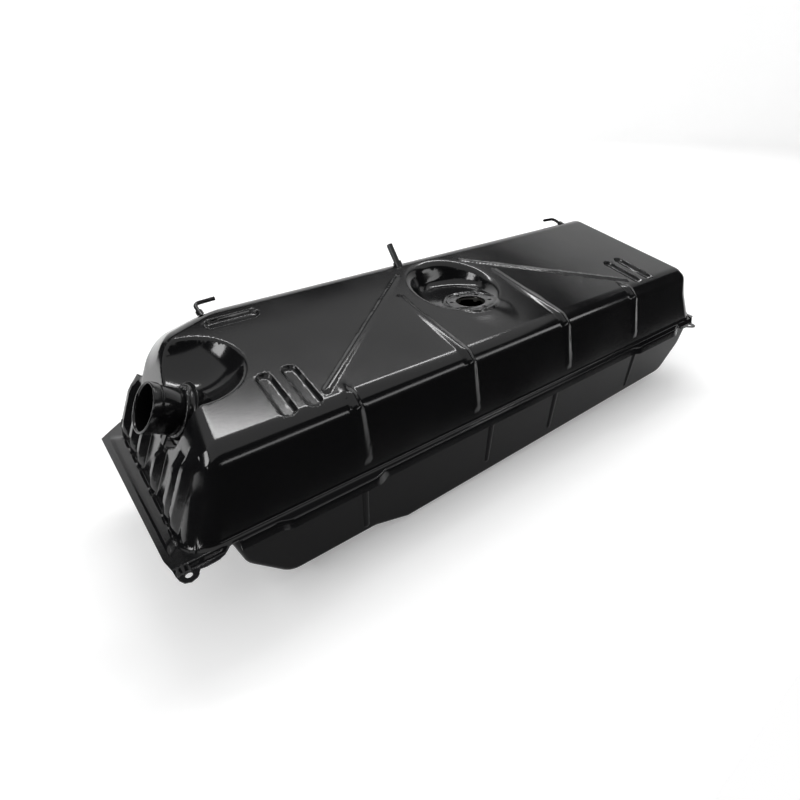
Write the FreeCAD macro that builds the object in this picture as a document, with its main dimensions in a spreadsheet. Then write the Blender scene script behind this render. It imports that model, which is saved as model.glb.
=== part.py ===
import FreeCAD, Part
import Sketcher
import math
import os

# Pressed-steel car fuel tank, millimetres.
# X runs along the tank (the filler end is at -X), Y from its front to its rear, Z up.
# The origin is the middle of the flat underside, so the tank stands on the plane Z = 0.

V = FreeCAD.Vector
doc = FreeCAD.newDocument("FuelTank")
sheet = doc.addObject("Spreadsheet::Sheet", "Sizes")

SIZES = [
    ("Sheet", 1.2, "thickness of the steel sheet"),
    ("FlangeHeight", 109.0, "flange top face above the underside"),
    ("FrontReach", 130.0, "front wall root ahead of the origin"),
    ("BodyDepth", 267.0, "front root to rear root at the flange"),
    ("LeftReach", 447.0, "left end wall root from the origin"),
    ("RightReach", 427.0, "right end wall root from the origin"),
    ("FrontDraft", 13.6, "lean of the upper front wall, degrees"),
    ("RearDraft", 6.0, "lean of the rear walls, degrees"),
    ("LeftDraft", 26.0, "lean of the left end wall, degrees"),
    ("RightDraft", 15.5, "lean of the right end wall, degrees"),
    ("WallRise", 74.2, "front wall height up to its bevel"),
    ("BevelDepth", 13.0, "depth of the bevel at the front top edge"),
    ("BevelRise", 10.7, "height of that bevel"),
    ("TopSlope", 14.2, "rise of the top towards the rear, degrees"),
    ("BendRadius", 27.0, "bends that run along the tank"),
    ("EndRadius", 25.0, "bends round the end walls"),
    ("FrontFlange", 5.0, "front flange ahead of the root"),
    ("WideFlange", 10.0, "the same in the two wide stretches"),
    ("WideFrom", 201.0, "start of a wide stretch from the left end's root"),
    ("WideTo", 96.0, "end of a wide stretch from the left end's root"),
    ("EndShift", 20.0, "the same features nearer to the right end's root by this"),
    ("LipHeight", 10.0, "turned-down front lip"),
    ("RearFlange", 24.0, "rear flange behind the root"),
    ("LeftFlange", 17.5, "left flange beyond the root, at its front"),
    ("LeftFlangeRear", 25.0, "left flange beyond the root, at its rear"),
    ("RightFlange", 13.0, "right flange beyond the root"),
    ("FlangeCorner", 26.0, "cut corners of the rear flange"),
    ("EarDrop", 5.0, "step down of a front ear"),
    ("EarReach", 20.5, "front ear ahead of the root"),
    ("EarEdge", 11.0, "the same beside its tip"),
    ("EarTip", 9.0, "radius of an ear's tip"),
    ("EarHole", 6.6, "bolt hole in an ear, diameter"),
    ("LeftEarX", 3.5, "left ear's hole beyond the left end's root"),
    ("LeftEarInner", 37.0, "inner end of the left ear from the left end's root"),
    ("RightEarX", 30.0, "right ear's hole from the right end's root"),
    ("RightEarOuter", 2.0, "outer end of the right ear beyond the right end's root"),
    ("RightEarInner", 59.0, "inner end of the right ear from the right end's root"),
    ("EarRoot", 14.0, "outer corner of an ear behind the front root"),
    ("SeatX", 2.0, "sender seat centre along the tank"),
    ("SeatBack", 16.5, "sender seat centre ahead of the middle of the depth"),
    ("SeatRise", -7.7, "sender seat over the slope of the top"),
    ("SeatRadius", 39.0, "flat of the sender seat"),
    ("SkirtRadius", 76.0, "foot of the skirt round the seat"),
    ("SkirtDrop", 16.0, "height of that skirt"),
    ("SeatBeadRadius", 36.0, "centre line of the bead round the seat"),
    ("SeatBeadSize", 3.0, "section radius of that bead"),
    ("SenderBore", 20.5, "radius of the sender opening"),
    ("BoltCircle", 54.0, "sender screw circle, diameter"),
    ("BoltCount", 6.0, "sender screws"),
    ("BoltHole", 5.5, "sender screw hole, diameter"),
    ("BowlBack", 31.0, "sender bowl centre behind the seat's centre"),
    ("BowlRadius", 54.0, "sender bowl at its floor"),
    ("BowlFlare", 14.0, "growth of the bowl radius up to its rim"),
    ("BowlDepth", 34.0, "depth of the bowl tool"),
    ("OuterBead", 197.4, "outer cross beads from the left end's root"),
    ("InnerBead", 88.7, "inner cross beads from the middle"),
    ("BeadRadius", 10.0, "section radius of a cross bead"),
    ("BeadHeight", 3.0, "height of a cross bead"),
    ("InnerBeadBack", 158.0, "rear end of an inner bead"),
    ("OuterBeadBack", 46.0, "rear end of an outer bead"),
    ("BeadFoot", 14.0, "lower end of a bead above the flange"),
    ("DiagonalFrontX", 179.0, "diagonal rib, front end from the left end's root"),
    ("DiagonalFrontBack", 46.0, "its front end behind the front root"),
    ("DiagonalRearX", 60.5, "diagonal rib, rear end from the middle"),
    ("DiagonalRearBack", 64.0, "its rear end ahead of the rear root"),
    ("DiagonalRadius", 10.0, "section radius of a diagonal rib"),
    ("DiagonalHeight", 2.6, "height of a diagonal rib"),
    ("SlotOuterX", 132.0, "outer slot from the left end's root"),
    ("SlotInnerX", 161.0, "inner slot from the left end's root"),
    ("SlotBack", 92.0, "rear end centre of a slot behind the front root"),
    ("SlotRadius", 10.0, "section radius of a slot"),
    ("SlotDepth", 4.0, "depth of a slot"),
    ("PadFromX", 123.0, "rear pad, outer end from the left end's root"),
    ("PadToX", 171.0, "rear pad, inner end from the left end's root"),
    ("PadBack", 61.0, "rear pad ahead of the rear root"),
    ("ScoopX", 72.0, "scoop centre from the left end's root"),
    ("ScoopBack", 140.0, "scoop centre behind the front root"),
    ("ScoopMouth", 56.0, "radius of the scoop in the top"),
    ("ScoopLift", 45.0, "centre of the scoop's sphere above the top"),
    ("ShoulderX", 121.0, "start of the left shoulder from the left end's root"),
    ("ShoulderSlope", 15.0, "fall of the shoulder towards the left, degrees"),
    ("ShoulderRearSlope", 20.0, "fall of the shoulder towards the rear, degrees"),
    ("ShoulderBack", 38.0, "and its distance ahead of the rear root"),
    ("EndRibCount", 6.0, "upright ribs on the left end wall"),
    ("EndRib1Back", 40.0, "rib 1, edge of its face behind the front root"),
    ("EndRib1Top", 76.0, "rib 1, its tip above the flange"),
    ("EndRib2Back", 62.0, "rib 2, edge of its face behind the front root"),
    ("EndRib2Top", 66.0, "rib 2, its tip above the flange"),
    ("EndRib3Back", 114.0, "rib 3, edge of its face behind the front root"),
    ("EndRib3Top", 51.0, "rib 3, its tip above the flange"),
    ("EndRib4Back", 98.0, "rib 4, edge of its face ahead of the rear root"),
    ("EndRib4Top", 50.0, "rib 4, its tip above the flange"),
    ("EndRib5Back", 62.0, "rib 5, edge of its face ahead of the rear root"),
    ("EndRib5Top", 60.0, "rib 5, its tip above the flange"),
    ("EndRib6Back", 21.0, "rib 6, edge of its face ahead of the rear root"),
    ("EndRib6Top", 70.0, "rib 6, its tip above the flange"),
    ("EndRibHeight", 7.2, "height of an end rib over the wall"),
    ("EndRibFace", 9.0, "width of an end rib's face"),
    ("EndRibShoulder", 10.0, "height of the slope under a rib's tip"),
    ("EndRibFoot", 2.0, "foot of an end rib ahead of the wall's root"),
    ("VentSideTilt", 2.5, "rise of a side pipe after its turn, degrees"),
    ("NeckX", 51.0, "neck root from the left end's root"),
    ("NeckBack", 117.4, "neck root behind the front root"),
    ("NeckRise", 78.8, "neck root above the flange"),
    ("NeckTilt", 31.8, "rise of the neck, degrees"),
    ("NeckTurn", 2.6, "turn of the neck towards the front, degrees"),
    ("NeckLength", 40.0, "neck from its root to its mouth"),
    ("NeckInside", 16.0, "neck inside the tank"),
    ("NeckRadius", 24.5, "outside radius of the neck tube"),
    ("NeckWall", 1.5, "wall of the neck tube"),
    ("NeckBead", 1.5, "rolled mouth bead over the tube radius"),
    ("NeckBeadLength", 8.0, "length of that bead"),
    ("PocketRadius", 37.0, "clear pocket round the neck"),
    ("CollarRadius", 33.0, "welded foot of the neck collar"),
    ("CollarHeight", 7.0, "height of the neck collar"),
    ("LowerFrontDraft", 5.0, "lean of the lower front wall, degrees"),
    ("ShallowDepth", 91.0, "left part of the lower pressing"),
    ("DeepDepth", 106.0, "deepest part of the sloping middle"),
    ("RightDepth", 90.0, "right end of the sloping middle"),
    ("StepFrom", 245.0, "left end of the step, left of the middle"),
    ("StepTo", 196.0, "right end of the step, left of the middle"),
    ("LowerLeftTop", 38.0, "lower left end wall at the flange, from the upper one's root"),
    ("LowerLeftFoot", 91.0, "lower left end wall at the bottom, from the same root"),
    ("LowerRightTop", 10.0, "lower right end wall at the flange, from the upper one's root"),
    ("LowerRightFoot", 61.0, "lower right end wall at the bottom, from the same root"),
    ("LowerShoulder", 45.0, "depth at which the lower end walls turn in"),
    ("LowerEndLean", 12.0, "how far they lean in down to that depth"),
    ("LowerEdge", 6.5, "bends round the lower pressing's bottom"),
    ("RestLeft", 190.0, "flat underside, left of the origin"),
    ("RestRight", 190.0, "flat underside, right of the origin"),
    ("RestDepth", 160.0, "flat underside, front to rear"),
    ("RestShift", 3.5, "its middle ahead of the middle of the depth"),
    ("LowerOuterRib", 189.0, "outer lower ribs from the left end's root"),
    ("LowerInnerRib", 63.5, "inner lower ribs from the middle"),
    ("LowerRibRadius", 6.0, "section radius of a lower rib"),
    ("LowerRibHeight", 1.8, "height of a lower rib"),
    ("RingRadius", 34.0, "outside radius of the sender ring"),
    ("RingThick", 2.5, "thickness of the sender ring"),
    ("NutAcross", 8.0, "sender weld nut across its flats"),
    ("NutThick", 4.0, "thickness of a sender weld nut"),
    ("NutBore", 4.2, "threaded bore of a nut, diameter"),
    ("BaffleX", 168.0, "baffles from the middle"),
    ("BaffleThick", 1.0, "thickness of a baffle"),
    ("BaffleRim", 12.0, "turned rim of a baffle"),
    ("BaffleGap", 0.3, "fit between a baffle and the pressings"),
    ("BaffleHole", 26.0, "radius of a baffle's holes"),
    ("BaffleHolePitch", 68.0, "spacing of those holes"),
    ("PotRadius", 45.0, "swirl pot radius"),
    ("PotHeight", 55.0, "swirl pot height"),
    ("PotWall", 1.0, "swirl pot wall"),
    ("PotSlot", 10.0, "feed slots in the pot's foot"),
    ("PotGap", 0.3, "weld gap under the pot"),
    ("VentSideX", 120.0, "left vent pipe from the left end's root"),
    ("VentShift", 36.0, "right vent pipe nearer to its end's root by this"),
    ("VentSideRadius", 2.5, "side vent pipe radius"),
    ("VentSideBack", 9.0, "where a side pipe turns, ahead of the rear root"),
    ("VentSideRise", -3.35, "and its height over the slope of the top"),
    ("VentSideRun", 26.0, "side pipe after its turn"),
    ("VentSideBend", 7.0, "bend radius of a side pipe"),
    ("VentMidX", 38.0, "centre pipe, left of the middle"),
    ("VentMidBack", 44.0, "foot of the centre pipe ahead of the rear root"),
    ("VentMidRise", -9.5, "and its height over the slope of the top"),
    ("VentMidRadius", 4.5, "centre pipe radius"),
    ("VentMidRun", 46.0, "length of the centre pipe"),
    ("VentMidTilt", 52.0, "rise of the centre pipe, degrees"),
    ("VentWall", 0.9, "wall of the pipes"),
    ("BossThick", 2.0, "vent boss beyond its pipe"),
    ("BossHeight", 5.0, "height of a vent boss"),
    ("VentFootBack", 40.0, "foot of a side pipe ahead of the rear root"),
    ("VentFootRise", -6.5, "and its height over the slope of the top"),
    ("TabWidth", 8.0, "width of the lug under the neck"),
    ("TabReach", 12.0, "reach of that lug"),
    ("TabThick", 2.0, "thickness of that lug"),
    ("TabRise", 9.0, "lug from the neck root, along the neck"),
    ("FitGap", 0.1, "gap round a tube in its hole"),
]

for row, (alias, value, note) in enumerate(SIZES, start=1):
    sheet.set("A%d" % row, note)
    sheet.set("B%d" % row, str(value))
    sheet.setAlias("B%d" % row, alias)
doc.recompute()


def size(alias):
    return float(getattr(sheet, alias))


def tan(alias):
    return math.tan(math.radians(size(alias)))


def from_end(hand, alias, shift="EndShift"):
    """Place along the tank of a feature that keeps its distance from an end wall's root."""
    if hand < 0:
        return size(alias) - size("LeftReach")
    return size("RightReach") - size(alias) + size(shift)


WALL = size("Sheet")
FLANGE = size("FlangeHeight")
FRONT = -size("FrontReach")
DEPTH = size("BodyDepth")
FAR = 4.0 * size("LeftReach")


def prism(points, sweep):
    """Solid swept from a closed flat outline."""
    return Part.Face(Part.makePolygon(points + [points[0]])).extrude(sweep)


def inset_outline(corners, distance, open_side=None):
    """Move each side of a clockwise (x, y) outline inwards, all but the open one."""
    lines = []
    for i, a in enumerate(corners):
        b = corners[(i + 1) % len(corners)]
        step = 0.0 if i == open_side else distance
        length = math.hypot(b[0] - a[0], b[1] - a[1])
        nx, ny = (b[1] - a[1]) / length, -(b[0] - a[0]) / length
        lines.append((nx, ny, nx * a[0] + ny * a[1] + step))
    moved = []
    for i, (nx, ny, d) in enumerate(lines):
        mx, my, e = lines[i - 1]
        det = mx * ny - my * nx
        moved.append(((e * ny - d * my) / det, (mx * d - nx * e) / det))
    return moved


def rounded_prism(points, sweep, radii):
    """Swept outline whose side edges at the given corners are rounded."""
    solid = prism(points, sweep)
    for corner, radius in radii:
        start = points[corner]
        along = [e for e in solid.Edges
                 if abs(e.Length - sweep.Length) < 0.001
                 and min((v.Point - start).Length for v in e.Vertexes) < 0.001]
        solid = solid.makeFillet(radius, along)
    return solid


def capsule(path, radius):
    """Round bar along a list of points, with a ball at each point."""
    bar = None
    for i, point in enumerate(path):
        ball = Part.makeSphere(radius, point)
        bar = ball if bar is None else bar.fuse(ball)
        if i:
            step = point - path[i - 1]
            bar = bar.fuse(Part.makeCylinder(radius, step.Length, path[i - 1], step))
    return bar


def check_solid(shape, name):
    shape = shape.removeSplitter()
    if shape.isNull() or not shape.isValid() or len(shape.Solids) != 1:
        raise ValueError("%s is not one valid solid" % name)
    return shape.Solids[0]


# The top of the upper pressing, as a height above the flange at a distance behind the front root.
BEVEL_BACK = size("WallRise") * tan("FrontDraft")
TOP_BACK = BEVEL_BACK + size("BevelDepth")
TOP_RISE = size("WallRise") + size("BevelRise")
SLOPE = math.radians(size("TopSlope"))
TOP_NORMAL = V(0, -math.sin(SLOPE), math.cos(SLOPE))


def top_rise(back):
    return TOP_RISE + (back - TOP_BACK) * math.tan(SLOPE)


def place(x, back, rise):
    """Point given from the middle, behind the front root and above the flange."""
    return V(x, FRONT + back, FLANGE + rise)


def on_top(x, back, lift=0.0):
    return place(x, back, top_rise(back)) + TOP_NORMAL * lift


def on_slope(x, back, over):
    """Point at a height straight over the slope of the top, or under it where that is negative."""
    return place(x, back, top_rise(back) + over)


SEAT_BACK = DEPTH / 2 - size("SeatBack")
SEAT = on_slope(size("SeatX"), SEAT_BACK, size("SeatRise"))
NECK_ROOT = place(from_end(-1, "NeckX"), size("NeckBack"), size("NeckRise"))
NECK_AXIS = V(
    -math.cos(math.radians(size("NeckTilt"))) * math.cos(math.radians(size("NeckTurn"))),
    -math.cos(math.radians(size("NeckTilt"))) * math.sin(math.radians(size("NeckTurn"))),
    math.sin(math.radians(size("NeckTilt"))),
)


def upper_hull(inset):
    """Plain box of the upper pressing with its long bends, a sheet's thickness smaller inside."""
    rear_top_back = DEPTH - top_rise(DEPTH) * tan("RearDraft")
    floor = -WALL if inset == 0 else -4 * WALL
    side = [
        (floor * tan("FrontDraft"), floor),
        (BEVEL_BACK, size("WallRise")),
        (TOP_BACK, TOP_RISE),
        (rear_top_back, top_rise(rear_top_back)),
        (DEPTH - floor * tan("RearDraft"), floor),
    ]
    side = inset_outline(side, inset, open_side=4)
    points = [V(-FAR, FRONT + y, FLANGE + z) for y, z in side]
    bend = size("BendRadius") - inset
    long_body = rounded_prism(points, V(2 * FAR, 0, 0), [(1, bend), (2, bend), (3, bend)])
    high = 3 * FLANGE
    ends = [
        (-size("LeftReach") + floor * tan("LeftDraft"), floor),
        (-size("LeftReach") + high * tan("LeftDraft"), high),
        (size("RightReach") - high * tan("RightDraft"), high),
        (size("RightReach") - floor * tan("RightDraft"), floor),
    ]
    ends = inset_outline(ends, inset, open_side=3)
    cross_body = prism([V(x, -FAR, FLANGE + z) for x, z in ends], V(0, 2 * FAR, 0))
    hull = long_body.common(cross_body)
    base = FLANGE + floor
    rim = []
    for face in hull.Faces:
        normal = face.normalAt(0, 0)
        if abs(normal.x) > 0.5 and face.Surface.TypeId == "Part::GeomPlane":
            rim += [e for e in face.Edges if e.BoundBox.ZMax > base + 0.01]
    return hull.makeFillet(size("EndRadius") - inset, rim)


def end_rib(back, top, inset):
    """Upright rib on the left end wall: flat face, slanted flanks and a sloped tip."""
    height = size("EndRibHeight")
    lean = math.radians(size("LeftDraft"))
    out = height / math.cos(lean)
    root = -size("LeftReach")
    floor = -WALL if inset == 0 else -4 * WALL
    low = size("EndRibFoot")
    foot_rise = (out - low) / math.tan(lean)
    shoulder = (root - out + (top - size("EndRibShoulder")) * math.tan(lean),
                top - size("EndRibShoulder"))
    tip = (root + top * math.tan(lean), top)
    deep = (2 * tip[0] - shoulder[0], 2 * tip[1] - shoulder[1])
    side = [(root - low, floor), (root - low, foot_rise), shoulder, deep, (deep[0] + out, floor)]
    side = inset_outline(side, inset, open_side=4)
    profile = prism([V(x, -FAR, FLANGE + z) for x, z in side], V(0, 2 * FAR, 0))
    up = V(math.sin(lean), 0, math.cos(lean))
    away = V(-math.cos(lean), 0, math.sin(lean))
    start = place(root, back, 0) - up * FLANGE
    face, slant = size("EndRibFace"), inset * math.tan(math.radians(22.5))
    section = [(-2 * height, -height), (slant, height - inset), (face - slant, height - inset),
               (face + 2 * height, -height)]
    if inset:
        section[0] = (section[1][0] - 2 * height + inset, -height)
        section[3] = (section[2][0] + 2 * height - inset, -height)
    bar = prism([start + V(0, y, 0) + away * h for y, h in section], up * (3 * FLANGE))
    return bar.common(profile)


def upper_solid(inset):
    """Upper pressing as a solid: the outside at inset 0, the inside at the sheet's thickness."""
    body = upper_hull(inset)
    # A cut tool grows by the inset, a raised one shrinks by it.
    grow = inset
    for i in range(int(size("EndRibCount"))):
        back = size("EndRib%dBack" % (i + 1))
        # The rear half of the ribs keeps its distance from the rear wall.
        back = back if 2 * i < size("EndRibCount") else DEPTH - back
        body = body.fuse(end_rib(back, size("EndRib%dTop" % (i + 1)), inset))
    # Left shoulder: a flat that falls towards the filler end and the rear.
    fall = V(-tan("ShoulderSlope"), tan("ShoulderRearSlope"), 1).normalize()
    start = on_top(from_end(-1, "ShoulderX"), DEPTH - size("ShoulderBack"))
    body = body.cut(Part.makeCylinder(FAR, FAR, start - fall * grow, fall))
    # Scoop: part of a sphere that clears the hose at the neck.
    lift = size("ScoopLift")
    ball = Part.makeSphere(math.hypot(size("ScoopMouth"), lift) + grow,
                           on_top(from_end(-1, "ScoopX"), size("ScoopBack"), lift))
    body = body.cut(ball)
    pocket = Part.makeCylinder(size("PocketRadius") + grow, size("NeckLength") * 2,
                               NECK_ROOT - NECK_AXIS * grow, NECK_AXIS)
    body = body.cut(pocket)
    # Sender bowl, skirt, seat and bead.
    bowl = Part.makeCone(size("BowlRadius") + grow, size("BowlRadius") + size("BowlFlare") + grow,
                         size("BowlDepth") + grow, SEAT + V(0, size("BowlBack"), -grow))
    body = body.cut(bowl)
    drop = size("SkirtDrop")
    skirt = Part.makeCone(size("SkirtRadius") - grow, size("SeatRadius") - grow, drop,
                          SEAT - V(0, 0, drop + grow))
    body = body.fuse(skirt)
    if inset == 0:
        body = body.fuse(Part.makeTorus(size("SeatBeadRadius"), size("SeatBeadSize"), SEAT))
    # Cross beads: over the front edge, sunk by the same depth below each face they cross.
    sink = size("BeadRadius") - size("BeadHeight")
    bevel = inset_outline([(0, 0), (BEVEL_BACK, size("WallRise")), (TOP_BACK, TOP_RISE),
                           (2 * TOP_BACK, top_rise(2 * TOP_BACK)), (2 * TOP_BACK, 0)], sink)
    foot = size("BeadFoot")
    for hand in (-1, 1):
        for x, back in ((from_end(hand, "OuterBead"), size("OuterBeadBack")),
                        (hand * size("InnerBead"), size("InnerBeadBack"))):
            path = [
                place(x, foot * tan("FrontDraft") + sink + size("BeadHeight"), foot),
                place(x, bevel[1][0], bevel[1][1]),
                place(x, bevel[2][0], bevel[2][1]),
                on_top(x, back, -sink - size("BeadHeight")),
            ]
            body = body.fuse(capsule(path, size("BeadRadius") - grow))
    # Diagonal ribs, which taper towards the rear.
    sink = size("DiagonalRadius") - size("DiagonalHeight")
    for hand in (-1, 1):
        near = on_top(from_end(hand, "DiagonalFrontX"), size("DiagonalFrontBack"), -sink)
        far = on_top(hand * size("DiagonalRearX"), DEPTH - size("DiagonalRearBack"),
                     -sink - size("DiagonalHeight"))
        body = body.fuse(capsule([near, far], size("DiagonalRadius") - grow))
    # Slots that run out over the front edge, and the pad at the rear left.
    lift = size("SlotRadius") - size("SlotDepth")
    for alias in ("SlotOuterX", "SlotInnerX"):
        for hand in (-1, 1):
            x = from_end(hand, alias)
            path = [on_top(x, size("SlotBack"), lift), on_top(x, 0, lift)]
            body = body.cut(capsule(path, size("SlotRadius") + grow))
    path = [on_top(from_end(-1, "PadFromX"), DEPTH - size("PadBack"), lift),
            on_top(from_end(-1, "PadToX"), DEPTH - size("PadBack"), lift)]
    body = body.cut(capsule(path, size("SlotRadius") + grow))
    return body


def flange_outline(margin):
    """Flange outline seen from above, without its ears, drawn in by a margin."""
    left = -size("LeftReach") - size("LeftFlange") + margin
    rear_left = -size("LeftReach") - size("LeftFlangeRear") + margin
    right = size("RightReach") + size("RightFlange") - margin
    rear = FRONT + DEPTH + size("RearFlange") - margin
    corner = size("FlangeCorner")
    front = front_edge(margin)
    return front + [V(right, front[-1].y + corner, 0), V(right, rear - corner, 0),
                    V(right - corner, rear, 0), V(rear_left + corner, rear, 0),
                    V(rear_left, rear - corner, 0), V(left, FRONT + size("EarRoot"), 0),
                    V(left, FRONT + size("EarRoot") / 2, 0)]


def front_edge(margin):
    """Front edge of the flange with its two wide stretches, left to right."""
    near = FRONT - size("FrontFlange") + margin
    wide = FRONT - size("WideFlange") + margin
    step = size("WideFlange")
    edge = []
    for hand in (-1, 1):
        end = hand * size("LeftReach" if hand < 0 else "RightReach") - hand * size("EndRadius")
        outer, inner = from_end(hand, "WideTo"), from_end(hand, "WideFrom")
        half = [V(end, near, 0), V(outer + hand * step, near, 0), V(outer, wide, 0),
                V(inner, wide, 0), V(inner - hand * step, near, 0)]
        edge += half if hand < 0 else half[::-1]
    return edge


def ear(tip_x, outer_x, inner_x):
    """Front mounting ear: stepped down from the flange, with a round tip and a bolt hole."""
    drop = size("EarDrop")
    reach = FRONT - size("EarReach")
    profile = [(FRONT + size("EarRoot"), 0), (FRONT - 2, 0), (FRONT - 2 - drop, -drop),
               (reach - 5, -drop)]
    lower = [(y, z - WALL) for y, z in reversed(profile)]
    strip = prism([V(-FAR, y, FLANGE + z) for y, z in profile + lower], V(2 * FAR, 0, 0))
    tip = V(tip_x, reach + size("EarTip"), 0)
    outwards = V(math.copysign(size("EarTip"), tip_x), 0, 0)
    outline = prism([V(outer_x, FRONT + size("EarRoot"), 0), tip + outwards, tip - outwards,
                     V((tip_x + 2 * inner_x) / 3, FRONT - size("EarEdge"), 0),
                     V(inner_x, FRONT - 4, 0), V(inner_x, FRONT + size("EarRoot"), 0)],
                    V(0, 0, FAR))
    outline = outline.fuse(Part.makeCylinder(size("EarTip"), FAR, tip))
    hole = Part.makeCylinder(size("EarHole") / 2, FAR, tip)
    return strip.common(outline).cut(hole)


# Routes of the three pipes at the rear edge: points, bend and radius.
VENTS = {}
rise = math.radians(size("VentSideTilt"))
for name, hand in (("left", -1), ("right", 1)):
    x = from_end(hand, "VentSideX", "VentShift")
    turn = on_slope(x, DEPTH - size("VentSideBack"), size("VentSideRise"))
    route = [on_slope(x, DEPTH - size("VentFootBack"), size("VentFootRise")), turn,
             turn + V(-hand * math.cos(rise), 0, math.sin(rise)) * size("VentSideRun")]
    VENTS[name] = (route, size("VentSideBend"), size("VentSideRadius"))
tilt = math.radians(size("VentMidTilt"))
foot = on_slope(-size("VentMidX"), DEPTH - size("VentMidBack"), size("VentMidRise"))
VENTS["centre"] = ([foot, foot + V(0, math.cos(tilt), math.sin(tilt)) * size("VentMidRun")],
                   0.0, size("VentMidRadius"))

# Upper pressing: shell, flange, lip, ears and the openings in it.
outside = upper_solid(0.0)
inside = upper_solid(WALL)
flange = prism([V(p.x, p.y, FLANGE - WALL) for p in flange_outline(0)], V(0, 0, WALL))
edge = [V(p.x, p.y, FLANGE - size("LipHeight")) for p in front_edge(0)]
lip = prism(edge + [p + V(0, WALL, 0) for p in reversed(edge)], V(0, 0, size("LipHeight")))
left, right = -size("LeftReach"), size("RightReach")
ears = [ear(left - size("LeftEarX"), left - size("LeftFlange"), left + size("LeftEarInner")),
        ear(right - size("RightEarX"), right + size("RightEarOuter"),
            right - size("RightEarInner"))]
upper = outside.fuse([flange, lip] + ears)
upper = upper.cut(inside)
upper = upper.cut(Part.makeCylinder(size("SenderBore"), FLANGE, SEAT - V(0, 0, 20)))
for i in range(int(size("BoltCount"))):
    turn = math.radians(90 + i * 360 / size("BoltCount"))
    spot = SEAT + V(math.cos(turn), math.sin(turn), 0) * (size("BoltCircle") / 2)
    upper = upper.cut(Part.makeCylinder(size("BoltHole") / 2, 40, spot - V(0, 0, 20)))
neck_hole = Part.makeCylinder(size("NeckRadius") + size("FitGap"), 60,
                              NECK_ROOT - NECK_AXIS * 30, NECK_AXIS)
upper = upper.cut(neck_hole)
for path, bend, radius in VENTS.values():
    upper = upper.cut(Part.makeCylinder(radius + size("FitGap"), size("BendRadius"), path[0],
                                        path[1] - path[0]))
upper_shell = doc.addObject("Part::Feature", "upper_shell")
upper_shell.Shape = check_solid(upper, "upper_shell")


def lower_solid(inset):
    """Lower pressing as a solid, hung from the flange."""
    rise = WALL if inset == 0 else 4 * WALL
    deepest = 2 * FLANGE
    left, right = -size("LeftReach"), size("RightReach")
    side = [
        (deepest * tan("LowerFrontDraft"), -deepest),
        (-rise * tan("LowerFrontDraft"), rise),
        (DEPTH + rise * tan("RearDraft"), rise),
        (DEPTH - deepest * tan("RearDraft"), -deepest),
    ]
    side = inset_outline(side, inset, open_side=1)
    across = prism([V(-FAR, FRONT + y, FLANGE - 2 * WALL + z) for y, z in side], V(2 * FAR, 0, 0))
    shoulder, lean = size("LowerShoulder"), size("LowerEndLean")
    slope_left = lean / shoulder
    along = [
        (left + size("LowerLeftTop") - rise * slope_left, rise),
        (right - size("LowerRightTop") + rise * slope_left, rise),
        (right - size("LowerRightTop") - lean, -shoulder),
        (right - size("LowerRightFoot"), -size("RightDepth")),
        (-size("StepTo"), -size("DeepDepth")),
        (-size("StepFrom"), -size("ShallowDepth")),
        (left + size("LowerLeftFoot"), -size("ShallowDepth")),
        (left + size("LowerLeftTop") + lean, -shoulder),
    ]
    along = inset_outline(along, inset, open_side=0)
    bend = size("BendRadius")
    body = rounded_prism([V(x, -FAR, FLANGE + z) for x, z in along], V(0, 2 * FAR, 0),
                         [(2, bend - inset), (3, bend - inset), (6, bend - inset),
                          (7, bend - inset), (5, bend + inset)])
    body = body.common(across)
    rim = []
    for face in body.Faces:
        normal = face.normalAt(0, 0)
        if abs(normal.y) > 0.9 and face.Surface.TypeId == "Part::GeomPlane":
            rim += [e for e in face.Edges if e.BoundBox.ZMin < FLANGE - 2 * WALL]
    body = body.makeFillet(size("LowerEdge") - inset, rim)
    # Flat panel that the tank stands on.
    middle = FRONT + DEPTH / 2 - size("RestShift")
    wires = []
    for spread, rise in ((-inset, inset), (size("DeepDepth") / 8 - inset,
                                           size("DeepDepth") / 4 + inset)):
        left, right = -size("RestLeft") - spread, size("RestRight") + spread
        near, far = (middle + hand * (size("RestDepth") / 2 + spread) for hand in (-1, 1))
        wires.append(Part.makePolygon([V(left, near, rise), V(right, near, rise),
                                       V(right, far, rise), V(left, far, rise),
                                       V(left, near, rise)]))
    body = body.fuse(Part.makeLoft(wires, True, True))
    # Upright ribs on the front wall.
    sink = size("LowerRibRadius") - size("LowerRibHeight")
    low = size("ShallowDepth") - 2 * size("LowerEdge")
    for hand in (-1, 1):
        for x in (from_end(hand, "LowerOuterRib"), hand * size("LowerInnerRib")):
            path = [place(x, sink, -2 * size("LowerRibRadius")),
                    place(x, sink + low * tan("LowerFrontDraft"), -low)]
            body = body.fuse(capsule(path, size("LowerRibRadius") - inset))
    return body


low_outside = lower_solid(0.0)
low_inside = lower_solid(WALL)
low_flange = prism([V(p.x, p.y, FLANGE - 2 * WALL) for p in flange_outline(1.5 * WALL)],
                   V(0, 0, WALL))
above = Part.makeBox(2 * FAR, 2 * FAR, FAR, V(-FAR, -FAR, FLANGE - WALL))
lower = low_outside.fuse(low_flange).cut([low_inside, above] + ears)
lower_shell = doc.addObject("Part::Feature", "lower_shell")
lower_shell.Shape = check_solid(lower, "lower_shell")

parts = [upper_shell, lower_shell]


def add(kind, name, **bindings):
    """Object of the document whose properties follow the sheet."""
    thing = doc.addObject(kind, name)
    for prop, rule in bindings.items():
        thing.setExpression(prop, rule)
    return thing


def cut(name, base, tool):
    result = doc.addObject("Part::Cut", name)
    result.Base = base
    result.Tool = tool
    return result


def fuse(name, pieces):
    result = doc.addObject("Part::MultiFuse", name)
    result.Shapes = pieces
    return result


def at(thing, base, axis=V(0, 0, 1)):
    thing.Placement = FreeCAD.Placement(base, FreeCAD.Rotation(V(0, 0, 1), axis))
    return thing


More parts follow.
